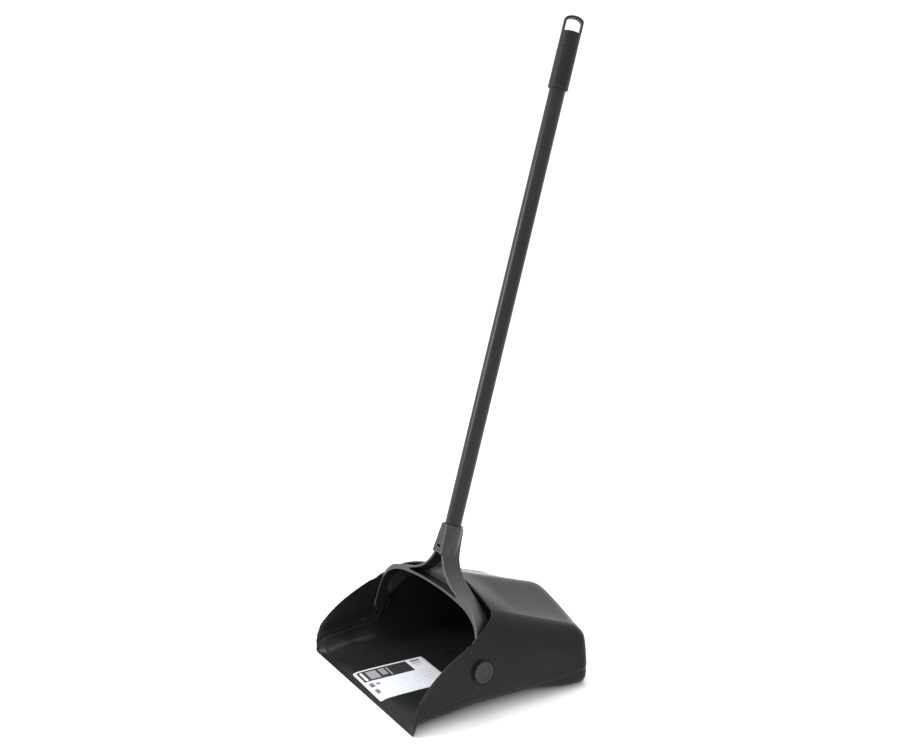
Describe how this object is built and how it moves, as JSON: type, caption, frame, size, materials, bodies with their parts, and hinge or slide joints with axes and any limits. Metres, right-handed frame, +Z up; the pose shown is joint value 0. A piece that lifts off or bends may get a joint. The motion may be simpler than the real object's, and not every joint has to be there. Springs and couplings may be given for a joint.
{
  "type": "upright lobby dustpan",
  "caption": "Upright hooded lobby dustpan: moulded pan with wings and hood, hinged on a yoke to a long coated handle with grip and hanging loop.",
  "frame": {"origin": "on the floor, at the middle of the whole object's footprint, on the pan's middle plane", "axes": "+Z up the standing object, -Y out of the pan's mouth, +X across the pan to its right-hand hinge rivet"},
  "size_m": [0.2984, 0.3658, 0.9274],
  "materials": {
    "pan_plastic": "satin",
    "yoke_plastic": "satin",
    "rivet_plastic": "satin",
    "tube_metal": "satin",
    "sleeve_vinyl": "satin",
    "grip_rubber": "matt",
    "label_paper": "satin"
  },
  "bodies": {
    "pan": {"pan_body": "pan_plastic", "info_label": "label_paper"},
    "handle": {"yoke": "yoke_plastic", "pivot_rivet_left": "rivet_plastic", "pivot_rivet_right": "rivet_plastic", "handle_tube": "tube_metal", "vinyl_sleeve": "sleeve_vinyl", "tube_foot_plug": "rivet_plastic", "hand_grip": "grip_rubber", "hang_cap": "grip_rubber"}
  },
  "joints": [
    {"name": "handle_tilt", "type": "hinge", "parent": "pan", "child": "handle", "pos_m": [0, -0.0761, 0.0606], "axis": [1, 0, 0], "range_deg": [0, 85]}
  ]
}
